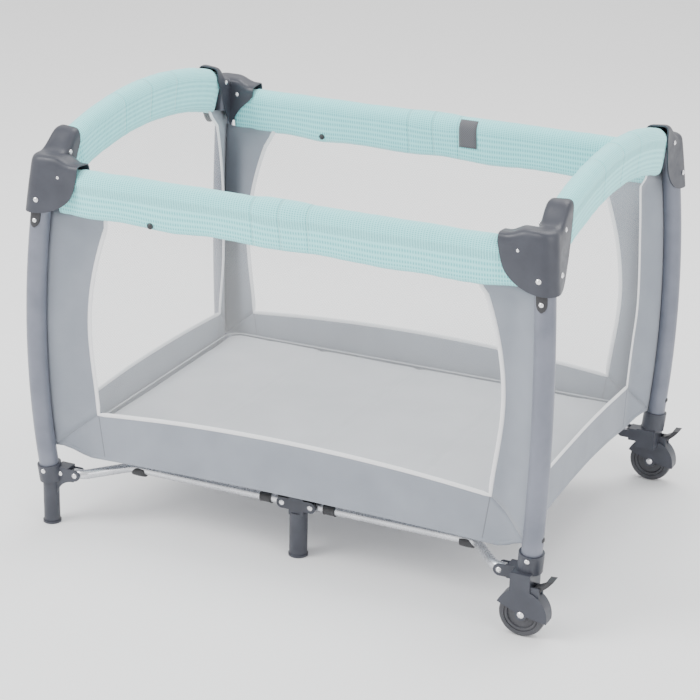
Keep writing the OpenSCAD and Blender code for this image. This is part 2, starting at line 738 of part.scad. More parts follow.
end_wall(-1);  // wall_left
end_wall(1);  // wall_right
mesh_windows();
floor_panel();
mattress();
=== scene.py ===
import json
import math

import bmesh
import bpy
import numpy as np
from mathutils import Matrix, Vector, noise


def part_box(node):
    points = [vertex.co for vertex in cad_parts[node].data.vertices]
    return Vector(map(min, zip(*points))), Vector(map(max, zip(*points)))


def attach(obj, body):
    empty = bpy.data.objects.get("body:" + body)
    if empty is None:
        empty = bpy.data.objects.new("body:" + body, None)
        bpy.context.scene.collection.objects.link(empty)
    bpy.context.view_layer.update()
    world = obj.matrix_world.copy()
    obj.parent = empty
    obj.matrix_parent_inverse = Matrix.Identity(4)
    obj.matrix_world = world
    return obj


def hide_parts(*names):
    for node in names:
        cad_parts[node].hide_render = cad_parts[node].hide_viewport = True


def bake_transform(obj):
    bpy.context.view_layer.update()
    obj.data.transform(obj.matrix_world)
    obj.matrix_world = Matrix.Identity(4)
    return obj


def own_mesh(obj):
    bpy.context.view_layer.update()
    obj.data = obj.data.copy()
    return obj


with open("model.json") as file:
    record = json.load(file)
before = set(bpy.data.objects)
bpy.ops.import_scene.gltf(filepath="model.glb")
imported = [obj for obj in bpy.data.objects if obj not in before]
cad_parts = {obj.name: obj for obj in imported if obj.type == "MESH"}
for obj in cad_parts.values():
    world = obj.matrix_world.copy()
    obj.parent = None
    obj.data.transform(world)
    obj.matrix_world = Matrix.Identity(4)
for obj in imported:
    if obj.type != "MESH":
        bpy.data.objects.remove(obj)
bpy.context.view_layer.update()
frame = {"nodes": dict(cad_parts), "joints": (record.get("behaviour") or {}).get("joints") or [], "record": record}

# ---------- places taken from the frame, in metres ----------
joint = {j["name"]: j for j in frame["joints"]}


def middle(node):
    lo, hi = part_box(node)
    return (lo + hi) / 2


CENTRE_X = middle("mattress").x
POST_X = middle("rail_right_f").x - CENTRE_X
POST_Y = middle("rail_back_l").y
RAIL_Z = middle("rail_back_l").z
PIVOT_X = -(joint["fold"]["pos_m"][0] - CENTRE_X)
CENTRE_PIVOT = -(joint["front_latch_l"]["pos_m"][0] - CENTRE_X)
END_Z = joint["cap_fl_left"]["pos_m"][2]
END_PIVOT_Y = -joint["cap_fl_left"]["pos_m"][1]
LOW_Z = joint["foot_front"]["pos_m"][2]
LOW_Y = -joint["midfoot_front_l"]["pos_m"][1]
COVER_R = POST_X - (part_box("cover_right_f")[0].x - CENTRE_X)
CROWN_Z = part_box("cover_right_f")[1].z - COVER_R
COVER_DROP = RAIL_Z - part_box("cover_front_l")[0].z
WALL_X = middle("wall_right").x - CENTRE_X
WALL_Y = middle("wall_back").y

# the bowed posts, whose curve no box of the frame gives: tube radius, bow, its height and the top
POST_R, BOW, BOW_Z, POST_TOP = 0.018, 0.030, 0.360, 0.700
BOW_R = ((POST_TOP - BOW_Z) ** 2 + BOW**2) / (2 * BOW)
ARCH_RISE = CROWN_Z - END_Z
ARCH_R = (END_PIVOT_Y**2 + ARCH_RISE**2) / (2 * ARCH_RISE)


def post_out(z):
    """How far a post's axis stands out from its top position, along X and along Y."""
    return (BOW - BOW_R + math.sqrt(BOW_R**2 - (z - BOW_Z) ** 2)) / math.sqrt(2)


def arch_z(y, below=0.0):
    return CROWN_Z - ARCH_R + math.sqrt((ARCH_R - below) ** 2 - y * y)


def at(x, y, z):
    """A point given from the middle of the yard."""
    return Vector((x + CENTRE_X, y, z))


def flat_area(outline):
    """Area inside a closed outline of plan points."""
    pairs = zip(outline, outline[1:] + outline[:1])
    return abs(sum(a[0] * b[1] - b[0] * a[1] for a, b in pairs)) / 2


def smooth(t):
    t = min(max(t, 0.0), 1.0)
    return t * t * (3 - 2 * t)


def mix(a, b, t):
    return a + (b - a) * t


# ---------- camera and light ----------
def make_camera():
    azimuth, elevation, roll = (math.radians(a) for a in (24.33, 20.80, 1.26))
    target, distance = Vector((-0.0306, -0.0088, 0.3068)), 3.992
    back = Vector((
        math.sin(azimuth) * math.cos(elevation),
        -math.cos(azimuth) * math.cos(elevation),
        math.sin(elevation),
    ))
    right = (-back).cross(Vector((0, 0, 1))).normalized()
    up = right.cross(-back)
    tilted_right = right * math.cos(roll) + up * math.sin(roll)
    tilted_up = up * math.cos(roll) - right * math.sin(roll)
    data = bpy.data.cameras.new("camera")
    data.lens, data.sensor_width = 110.4, 36
    data.clip_end = 100
    camera = bpy.data.objects.new("camera", data)
    bpy.context.scene.collection.objects.link(camera)
    turn = Matrix((tilted_right, tilted_up, back)).transposed()
    camera.matrix_world = Matrix.Translation(target + back * distance) @ turn.to_4x4()
    bpy.context.scene.camera = camera


def make_light(name, place, aim, size, power):
    data = bpy.data.lights.new(name, "AREA")
    data.size, data.energy = size, power
    light = bpy.data.objects.new(name, data)
    bpy.context.scene.collection.objects.link(light)
    light.location = place
    light.rotation_euler = (Vector(aim) - Vector(place)).to_track_quat("-Z", "Y").to_euler()


def make_stage():
    world = bpy.data.worlds.new("studio")
    world.use_nodes = True
    background = world.node_tree.nodes["Background"]
    background.inputs["Color"].default_value = (1, 1, 1, 1)
    background.inputs["Strength"].default_value = 1.25
    bpy.context.scene.world = world
    make_light("key", (-2.4, -2.6, 3.4), (0, 0, 0.3), 2.2, 150)
    make_light("fill", (3.2, -1.6, 2.0), (0, 0, 0.3), 2.6, 42)
    make_light("top", (0.3, 1.4, 3.6), (0, 0, 0.4), 2.6, 85)
    bpy.ops.mesh.primitive_plane_add(size=40, location=(0, 0, -0.0005))
    floor = bpy.context.object
    floor.name = "studio_floor"
    floor.data.materials.append(plain_floor())


# ---------- materials ----------
def new_material(name, rough, **sockets):
    """A Principled material and its node tree, with the even values set on the shader's own sockets."""
    material = bpy.data.materials.new(name)
    material.use_nodes = True
    shader = material.node_tree.nodes["Principled BSDF"]
    shader.inputs["Roughness"].default_value = rough
    for key, value in sockets.items():
        shader.inputs[key.replace("_", " ")].default_value = value
    return material, material.node_tree, shader


def add(tree, kind, settings=None, **inputs):
    node = tree.nodes.new("ShaderNode" + kind)
    for key, value in (settings or {}).items():
        setattr(node, key, value)
    for key, value in inputs.items():
        socket = node.inputs[int(key[1:])] if key[0] == "i" and key[1:].isdigit() else node.inputs[key]
        if isinstance(value, bpy.types.NodeSocket):
            tree.links.new(value, socket)
        else:
            socket.default_value = value
    return node


def ramp(tree, source, dark, light, low=0.0, high=1.0):
    node = add(tree, "ValToRGB", i0=source)
    node.color_ramp.elements[0].position, node.color_ramp.elements[1].position = low, high
    node.color_ramp.elements[0].color = (*dark, 1)
    node.color_ramp.elements[1].color = (*light, 1)
    return node.outputs["Color"]


def coloured_noise(tree, scale, detail=3.0):
    place = add(tree, "TexCoord").outputs["Object"]
    return add(tree, "TexNoise", Vector=place, Scale=scale, Detail=detail).outputs[0]


def threads(tree, place, pitch, band):
    """Sine bands one pitch apart across the given direction, from 0 to 1."""
    return add(
        tree, "TexWave", {"wave_type": "BANDS", "bands_direction": band, "wave_profile": "SIN"},
        Vector=place, Scale=2 * math.pi / (20 * pitch), Distortion=0.0,
    ).outputs["Fac"]


def finish_bump(tree, shader, height, strength, distance):
    bump = add(tree, "Bump", Strength=strength, Distance=distance, Height=height)
    tree.links.new(bump.outputs[0], shader.inputs["Normal"])


def plain_floor():
    material, tree, shader = new_material("floor", 0.9)
    tint = ramp(tree, coloured_noise(tree, 0.6), (0.93, 0.93, 0.93), (0.97, 0.97, 0.97))
    tree.links.new(tint, shader.inputs["Base Color"])
    return material


MINT_LIGHT, MINT_DARK = (0.36, 0.93, 0.94), (0.13, 0.60, 0.63)
WAFFLE_PITCH, WEAVE_PITCH = 0.0048, 0.0016


def mint_waffle():
    material, tree, shader = new_material("mint_waffle", 0.88, Sheen_Weight=0.35, Sheen_Roughness=0.6)
    place = add(tree, "UVMap", {"uv_map": "cloth"}).outputs[0]
    along, across = (threads(tree, place, WAFFLE_PITCH, way) for way in "XY")
    check = add(tree, "Math", {"operation": "MULTIPLY"}, i0=along, i1=across).outputs[0]
    blotch = coloured_noise(tree, 9.0)
    level = add(tree, "Math", {"operation": "MULTIPLY_ADD"}, i0=blotch, i1=0.22, i2=check).outputs[0]
    tint = ramp(tree, level, MINT_LIGHT, MINT_DARK, 0.12, 0.95)
    tree.links.new(tint, shader.inputs["Base Color"])
    finish_bump(tree, shader, check, 0.55, 0.0009)
    return material


def grey_fabric(name="grey_fabric", dark=(0.235, 0.258, 0.300), light=(0.300, 0.325, 0.372)):
    material, tree, shader = new_material(name, 0.82, Sheen_Weight=0.25)
    place = add(tree, "TexCoord").outputs["Object"]
    weave = add(tree, "Math", {"operation": "MULTIPLY"}, i0=threads(tree, place, WEAVE_PITCH, "DIAGONAL"),
                i1=threads(tree, place, WEAVE_PITCH, "Z")).outputs[0]
    cloud = coloured_noise(tree, 14.0, 5.0)
    level = add(tree, "Math", {"operation": "MULTIPLY_ADD"}, i0=weave, i1=0.35, i2=cloud).outputs[0]
    tree.links.new(ramp(tree, level, dark, light, 0.3, 0.95), shader.inputs["Base Color"])
    finish_bump(tree, shader, level, 0.25, 0.0006)
    return material


def white_mesh():
    material, tree, shader = new_material("white_mesh", 0.7)
    place = add(tree, "TexCoord").outputs["Object"]
    holes = add(tree, "Math", {"operation": "MULTIPLY"}, i0=threads(tree, place, 0.0031, "DIAGONAL"),
                i1=threads(tree, place, 0.0034, "Z")).outputs[0]
    veil = add(tree, "MapRange", i0=holes, i1=0.0, i2=1.0, i3=0.18, i4=0.03).outputs[0]
    tree.links.new(veil, shader.inputs["Alpha"])
    tint = ramp(tree, coloured_noise(tree, 30.0), (0.86, 0.86, 0.87), (0.96, 0.96, 0.96))
    tree.links.new(tint, shader.inputs["Base Color"])
    return material


def cloth_tape(name, dark, light, pitch=0.0014):
    material, tree, shader = new_material(name, 0.75, Sheen_Weight=0.2)
    place = add(tree, "TexCoord").outputs["Object"]
    twill = threads(tree, place, pitch, "DIAGONAL")
    tree.links.new(ramp(tree, twill, dark, light), shader.inputs["Base Color"])
    finish_bump(tree, shader, twill, 0.3, 0.0004)
    return material


def moulded(name, dark, light, rough, grain=900.0):
    material, tree, shader = new_material(name, rough)
    tree.links.new(ramp(tree, coloured_noise(tree, 22.0), dark, light, 0.3, 0.7), shader.inputs["Base Color"])
    fine = coloured_noise(tree, grain)
    wear = add(tree, "MapRange", i0=coloured_noise(tree, 60.0), i1=0.3, i2=0.7,
               i3=rough - 0.07, i4=rough + 0.08)
    tree.links.new(wear.outputs[0], shader.inputs["Roughness"])
    finish_bump(tree, shader, fine, 0.12, 0.0003)
    return material


def metal(name, dark, light, rough, metallic):
    material, tree, shader = new_material(name, rough, Metallic=metallic)
    tint = ramp(tree, coloured_noise(tree, 16.0), dark, light, 0.35, 0.7)
    tree.links.new(tint, shader.inputs["Base Color"])
    streak = coloured_noise(tree, 240.0, 2.0)
    polish = add(tree, "MapRange", i0=streak, i1=0.2, i2=0.8, i3=rough - 0.05, i4=rough + 0.09).outputs[0]
    tree.links.new(polish, shader.inputs["Roughness"])
    finish_bump(tree, shader, streak, 0.05, 0.0002)
    return material


MATERIALS = {
    "mint_waffle": mint_waffle(),
    "grey_fabric": grey_fabric(),
    "white_mesh": white_mesh(),
    "white_piping": cloth_tape("white_piping", (0.78, 0.78, 0.80), (0.92, 0.92, 0.93)),
    "mattress_fabric": grey_fabric("mattress_fabric", (0.40, 0.41, 0.44), (0.48, 0.49, 0.52)),
    "webbing": cloth_tape("webbing", (0.075, 0.075, 0.085), (0.14, 0.14, 0.155), 0.0022),
    "painted_steel": metal("painted_steel", (0.155, 0.167, 0.208), (0.200, 0.213, 0.260), 0.34, 0.25),
    "plated_steel": metal("plated_steel", (0.55, 0.56, 0.59), (0.72, 0.73, 0.76), 0.26, 0.9),
    "rivet_steel": metal("rivet_steel", (0.85, 0.85, 0.87), (0.95, 0.95, 0.96), 0.2, 0.75),
    "moulded_plastic": moulded("moulded_plastic", (0.036, 0.039, 0.052), (0.052, 0.056, 0.072), 0.40),
    "dark_plastic": moulded("dark_plastic", (0.022, 0.022, 0.025), (0.040, 0.040, 0.045), 0.45),
    "wheel_plastic": moulded("wheel_plastic", (0.040, 0.041, 0.048), (0.065, 0.066, 0.075), 0.38),
    "seam_thread": cloth_tape("seam_thread", (0.13, 0.14, 0.16), (0.24, 0.25, 0.28)),
}


# ---------- building pieces ----------
def piece(name, verts, faces, slot, uv=None):
    """A smooth named mesh with its faces turned outwards and its material slot declared."""
    mesh = bpy.data.meshes.new(name)
    mesh.from_pydata([tuple(v) for v in verts], [], faces)
    if uv:
        layer = mesh.uv_layers.new(name="cloth")
        for loop in mesh.loops:
            layer.data[loop.index].uv = uv[loop.vertex_index]
    work = bmesh.new()
    work.from_mesh(mesh)
    bmesh.ops.recalc_face_normals(work, faces=work.faces)
    work.to_mesh(mesh)
    work.free()
    mesh.shade_smooth()
    made = bpy.data.objects.new(name, mesh)
    bpy.context.scene.collection.objects.link(made)
    made.data.materials.append(MATERIALS[slot])
    return made


def grid_faces(rows, cols, wrap_rows=False, wrap_cols=False, first=0):
    faces = []
    for i in range(rows if wrap_rows else rows - 1):
        for j in range(cols if wrap_cols else cols - 1):
            i1, j1 = (i + 1) % rows, (j + 1) % cols
            corners = (i * cols + j, i * cols + j1, i1 * cols + j1, i1 * cols + j)
            faces.append(tuple(first + k for k in corners))
    return faces


def loft(name, rings, slot, closed_ends=True, uv=None):
    """A skin over closed rings of equal count."""
    rows, cols = len(rings), len(rings[0])
    faces = grid_faces(rows, cols, wrap_cols=True)
    if closed_ends:
        faces += [tuple(range(cols)), tuple((rows - 1) * cols + j for j in range(cols))]
    return piece(name, [p for ring in rings for p in ring], faces, slot, uv)


def modify(made, kind, **settings):
    modifier = made.modifiers.new(kind.title(), kind)
    for key, value in settings.items():
        setattr(modifier, key, value)
    return made


def sweep(path, across, normal, wide, thick, sides=10):
    """Rings of an ellipse along a path, with its own sideways and outward direction at each point."""
    rings = []
    for p, a, n in zip(path, across, normal):
        angles = [2 * math.pi * k / sides for k in range(sides)]
        rings.append([p + a * (wide * math.cos(t)) + n * (thick * math.sin(t)) for t in angles])
    return rings


def tube_rings(path, radius, sides=16):
    rings, side = [], None
    for i, p in enumerate(path):
        way = (path[min(i + 1, len(path) - 1)] - path[max(i - 1, 0)]).normalized()
        if side is None:
            side = way.orthogonal().normalized()
        side = (side - way * side.dot(way)).normalized()
        other = way.cross(side)
        r = radius(i / (len(path) - 1)) if callable(radius) else radius
        rings.append([p + (side * math.cos(t) + other * math.sin(t)) * r
                      for t in (2 * math.pi * k / sides for k in range(sides))])
    return rings


def join_meshes(name, parts, slot):
    """One piece out of several lists of rings, each closed at its ends."""
    verts, faces = [], []
    for rings in parts:
        first, rows, cols = len(verts), len(rings), len(rings[0])
        verts += [p for ring in rings for p in ring]
        faces += grid_faces(rows, cols, wrap_cols=True, first=first)
        last = first + (rows - 1) * cols
        faces += [tuple(first + j for j in range(cols)), tuple(last + j for j in range(cols))]
    return piece(name, verts, faces, slot)


def dome(place, way, radius, height=None):
    """Rings of a rivet's low dome with a small rim, standing on place and facing way."""
    way = Vector(way).normalized()
    side = way.orthogonal().normalized()
    other = way.cross(side)
    height = height or radius * 0.55
    shape = [(1.0, -0.6), (1.0, 0.12), (0.94, 0.28), (0.80, 0.42), (0.62, 0.68), (0.38, 0.90), (0.14, 1.0)]
    return [[place + way * (h * height) + (side * math.cos(t) + other * math.sin(t)) * (r * radius)
             for t in (2 * math.pi * k / 20 for k in range(20))] for r, h in shape]


CORNERS = {"fl": (-1, -1), "fr": (1, -1), "bl": (-1, 1), "br": (1, 1)}


# ---------- corner caps ----------
CAP_STEPS, ROUND_STEPS = 11, 8
ARM_X, ARM_Y = 0.071, 0.073
# half widths of an ear and of the inner wall, and the outer corner's round
EAR_HALF, CAP_IN = 0.0222, 0.0215
ROUND_AT, ROUND_R = 0.003, 0.0232
CAP_OUT = ROUND_AT + ROUND_R


def cap_columns():
    """Plan points of the cap's outer and inner wall, and how far along they are.

    It runs from -1 at the long rail's ear, past 0 at the post, to 1 at the end rail's ear.
    """
    columns = []
    for i in range(CAP_STEPS):
        t = i / (CAP_STEPS - 1)
        columns.append((Vector((mix(-ARM_X, ROUND_AT, t), mix(EAR_HALF, CAP_OUT, t))),
                        Vector((mix(-ARM_X, -CAP_IN, t), mix(-EAR_HALF, -CAP_IN, t))), -(1 - t)))
    for k in range(1, ROUND_STEPS):
        a = math.radians(90 - k * 90 / ROUND_STEPS)
        columns.append((Vector((ROUND_AT + ROUND_R * math.cos(a), ROUND_AT + ROUND_R * math.sin(a))),
                        Vector((-CAP_IN, -CAP_IN)), 0.0))
    for i in range(CAP_STEPS):
        t = i / (CAP_STEPS - 1)
        columns.append((Vector((mix(CAP_OUT, EAR_HALF, t), mix(ROUND_AT, -ARM_Y, t))),
                        Vector((mix(-CAP_IN, -EAR_HALF, t), mix(-CAP_IN, -ARM_Y, t))), t))
    return columns


def cap_crown(s):
    """Height of the cap's top over the rails: the long ear, the saddle and the taller end ear."""
    over_post = POST_TOP + 0.0062
    if s < 0:
        return mix(over_post, RAIL_Z + 0.0310, smooth((-s - 0.30) * 1.9))
    return mix(over_post, END_Z + 0.0340, smooth((s - 0.12) * 1.35))


def cap_hem(s, inner):
    """Height of the cap's lower edge."""
    reach = abs(s)
    low = RAIL_Z - (0.052 if inner else 0.060)
    top = cap_crown(s) - (0.014 if s < 0 else 0.020)
    if inner:
        return mix(low, top - 0.008, reach**0.92)
    return mix(low, top, 1 - math.sqrt(max(0.0, 1 - reach**2.4)))


def corner_cap(tag, body, sx, sy):
    """The moulded shell: a wall outside, a rolled top and a wall inside, following its crown and hem."""
    # the rolled top: how far across it, and the height against the crown
    roll = [(0.0, -0.0145), (0.004, -0.0105), (0.022, -0.0062), (0.06, -0.0030),
            (0.13, -0.0008), (0.25, 0.0), (0.42, -0.0008), (0.60, -0.0014),
            (0.78, -0.0020), (0.90, -0.0040), (0.965, -0.0085), (1.0, -0.0150)]
    wall_steps = 7
    columns = []
    for outer, inner, s in cap_columns():
        crown = cap_crown(s)
        hem_out, hem_in = cap_hem(s, False), cap_hem(s, True)
        line = []
        shoulder_out = max(crown + roll[0][1], hem_out + 0.0002)
        shoulder_in = max(crown + roll[-1][1], hem_in + 0.0002)
        for k in range(wall_steps):
            line.append((0.0, mix(hem_out, shoulder_out, k / wall_steps)))
        line += [(u, max(crown + h, hem_out if u < 0.5 else hem_in)) for u, h in roll]
        for k in reversed(range(wall_steps)):
            line.append((1.0, mix(hem_in, shoulder_in, k / wall_steps)))
        ring = []
        for u, z in line:
            p = outer.lerp(inner, u)
            # the outer wall leans out with the bowed post
            lean = post_out(z) * (1 - smooth(abs(s))) if u < 0.5 else 0.0
            ring.append(at(sx * (POST_X + p.x + lean), sy * (POST_Y + p.y + lean), z))
        columns.append(ring)
    rows, cols = len(columns), len(columns[0])
    points = [p for ring in columns for p in ring]
    cap = piece("corner_cap_shell_" + tag, points, grid_faces(rows, cols), "moulded_plastic")
    modify(cap, "SOLIDIFY", thickness=0.0026, offset=-1)
    work = bmesh.new()
    work.from_mesh(cap.data)
    outwards = sum((f.normal.z for f in work.faces if f.calc_center_median().z > RAIL_Z + 0.02), 0.0)
    if outwards < 0:
        bmesh.ops.reverse_faces(work, faces=work.faces)
        work.to_mesh(cap.data)
    work.free()
    modify(cap, "BEVEL", width=0.0008, segments=2, limit_method="ANGLE", angle_limit=math.radians(50))
    modify(cap, "SUBSURF", levels=1, render_levels=1)
    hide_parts("corner_cap_" + tag)
    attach(cap, body)


def cap_trim(tag, body, sx, sy):
    """The rivets of a cap, and the tongue that ties it to its post."""
    side, end, inside = (0, sy, 0), (sx, 0, 0), 0.0044
    big, seat = 0.0048, 0.0252
    out_x, out_y = sx * (POST_X + seat), sy * (POST_Y + seat)
    low_lean = post_out(RAIL_Z - 0.036)
    heads = [
        dome(at(sx * (POST_X - 0.034), out_y - sy * 0.0015, RAIL_Z + 0.007), side, big),
        dome(at(sx * (POST_X + 0.006), out_y + sy * (0.001 + low_lean), RAIL_Z - 0.036), side, big),
        dome(at(out_x - sx * 0.0015, sy * (POST_Y - 0.034), END_Z - 0.006), end, big),
        dome(at(out_x + sx * (0.001 + low_lean), sy * (POST_Y + 0.002), RAIL_Z - 0.030), end, big),
        dome(at(sx * (POST_X - 0.036), sy * (POST_Y - EAR_HALF), RAIL_Z + 0.010), (0, -sy, 0), inside),
        dome(at(sx * (POST_X - EAR_HALF), sy * (POST_Y - 0.040), END_Z - 0.004), (-sx, 0, 0), inside),
    ]
    tongue_top, tongue_long, curl = RAIL_Z - 0.058, 0.030, 22
    tongue = []
    for k in range(9):
        z = tongue_top - tongue_long * k / 8
        half = 0.0095 * math.sqrt(max(0.02, 1 - (max(0, k - 4) / 4) ** 2))
        face = POST_Y + post_out(z) + POST_R
        across = [mix(-half, half, i / 6) for i in range(7)]
        ring = []
        for line, out in ((across, 0.0024), (across[::-1], -0.0022)):
            ring += [at(sx * (POST_X + post_out(z) + x), sy * (face + out - x * x * curl), z) for x in line]
        tongue.append(ring)
    made = loft("cap_tongue_" + tag, tongue, "dark_plastic")
    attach(modify(made, "BEVEL", width=0.0005, segments=2, limit_method="ANGLE"), body)
    z = tongue_top - 0.017
    on_post = at(sx * (POST_X + post_out(z)), sy * (POST_Y + post_out(z) + POST_R + 0.0020), z)
    heads.append(dome(on_post, side, 0.0042))
    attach(join_meshes("cap_rivets_" + tag, heads, "rivet_steel"), body)


# ---------- padded rail covers ----------
SECTION = 30


def cover_ring(axis, out, up, r, low_r, drop, along, seed):
    """One ring of a cover: round over the tube, straight sides and a rounded lower edge."""
    lean = math.asin((r - low_r) / (drop - low_r))
    ring = []
    for k in range(SECTION):
        t = k / SECTION
        if t < 0.5:
            a = -lean + (t / 0.5) * (math.pi + 2 * lean)
            p, way = (r * math.cos(a), r * math.sin(a)), (math.cos(a), math.sin(a))
        elif t < 0.62:
            f = (t - 0.5) / 0.12
            a = math.pi + lean
            start = (r * math.cos(a), r * math.sin(a))
            end = (low_r * math.cos(a), low_r - drop + low_r * math.sin(a))
            p, way = (mix(start[0], end[0], f), mix(start[1], end[1], f)), (-1, 0)
        elif t < 0.88:
            a = math.pi + lean + (t - 0.62) / 0.26 * (math.pi - 2 * lean)
            p, way = (low_r * math.cos(a), low_r - drop + low_r * math.sin(a)), (math.cos(a), math.sin(a))
        else:
            f = (t - 0.88) / 0.12
            a = -lean
            start = (low_r * math.cos(a), low_r - drop + low_r * math.sin(a))
            end = (r * math.cos(a), r * math.sin(a))
            p, way = (mix(start[0], end[0], f), mix(start[1], end[1], f)), (1, 0)
        # soft puckers: long along the rail and short round it
        wave = noise.noise(Vector((along * 16 + seed, p[1] * 34, p[0] * 20)))
        ripple = noise.noise(Vector((along * 55 + seed, p[1] * 9, 3.1)))
        push = 0.0011 * wave + 0.0006 * ripple
        ring.append(axis + out * (p[0] + way[0] * push) + up * (p[1] + way[1] * push))
    return ring


def section_uv(rows_along):
    """Cloth coordinates in metres: along the rail, and round the section."""
    girth = 0.205
    return [(s, girth * k / SECTION) for s in rows_along for k in range(SECTION)]


def long_cover(name, sx, sy, x0, x1, steps, seed):
    rings, places = [], []
    for i in range(steps + 1):
        x = mix(x0, x1, i / steps)
        tuck = smooth((x - (POST_X - 0.076)) / 0.014)
        over_latch = 0.0030 * (1 - smooth((x - 0.024) / 0.040))
        r, low_r = mix(COVER_R + over_latch, 0.0180, tuck), mix(0.0115, 0.0100, tuck)
        sag = 0.0032 * noise.noise(Vector((sx * x * 9, seed, 0.4))) + 0.0013 * math.sin(sx * x * 34 + seed)
        drop = COVER_DROP + sag - 0.003 * smooth((x - 0.36) / 0.06)
        ring = cover_ring(at(sx * x, sy * POST_Y, RAIL_Z), Vector((0, sy, 0)), Vector((0, 0, 1)),
                          r, low_r, drop, sx * x, seed)
        rings.append(ring)
        places.append(sx * x)
    return loft(name, rings, "mint_waffle", True, section_uv(places))


def end_cover(name, sx, sy, y0, y1, steps, seed):
    rings, places = [], []
    for i in range(steps + 1):
        y = mix(y0, y1, i / steps)
        angle = math.asin(y / ARCH_R)
        up = Vector((0, sy * math.sin(angle), math.cos(angle)))
        tuck = smooth((y - (POST_Y - 0.080)) / 0.014)
        r, low_r = mix(COVER_R, 0.0180, tuck), mix(0.0172, 0.0130, tuck)
        axis = at(sx * POST_X, sy * y, arch_z(y))
        rings.append(cover_ring(axis, Vector((sx, 0, 0)), up, r, low_r, COVER_DROP, sy * y + 2.0, seed))
        places.append(sy * ARCH_R * angle)
    return loft(name, rings, "mint_waffle", True, section_uv(places))


LONG_SPLIT, END_SPLIT = 0.052, 0.098


def rail_covers():
    for side, sy in (("front", -1), ("back", 1)):
        for half, sx in (("l", -1), ("r", 1)):
            seed = 3.7 * sy
            body, hinge = f"top_{side}_{half}", "hinge_" + side
            main = long_cover(f"cover_{side}_{half}_pad", sx, sy, LONG_SPLIT, POST_X - 0.026, 64, seed)
            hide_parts(f"cover_{side}_{half}")
            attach(main, body)
            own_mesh(main)
            centre = long_cover(f"cover_{side}_{half}_centre", sx, sy, 0.0, LONG_SPLIT, 10, seed)
            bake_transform(centre)
    for side, sx in (("left", -1), ("right", 1)):
        for half, sy in (("f", -1), ("b", 1)):
            seed = 5.3 * sx
            body, hinge = f"top_{side}_{half}", "hinge_" + side
            top_y = POST_Y - 0.056
            main = end_cover(f"cover_{side}_{half}_pad", sx, sy, END_SPLIT, top_y, 40, seed)
            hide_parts(f"cover_{side}_{half}")
            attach(main, body)
            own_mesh(main)
            centre = end_cover(f"cover_{side}_{half}_centre", sx, sy, 0.0, END_SPLIT, 16, seed)
            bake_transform(centre)


# ---------- fabric walls with net windows ----------
HEM_Z, TOP_TUCK = 0.127, 0.007
# how far a wall's edge stays inside the post's axis, and the run over which it curves out to the post
EDGE_IN, CURVE_RUN = 0.0125, 0.058
WINDOW_LOW, WINDOW_WIDEST = 0.218, 0.385
SIDE_STEPS, BOTTOM_STEPS = 26, 60
CLOTH_THICK = 0.0012
# share of its length that a wall keeps when the frame is folded
KEEP_X, KEEP_Y = 0.303, 0.462


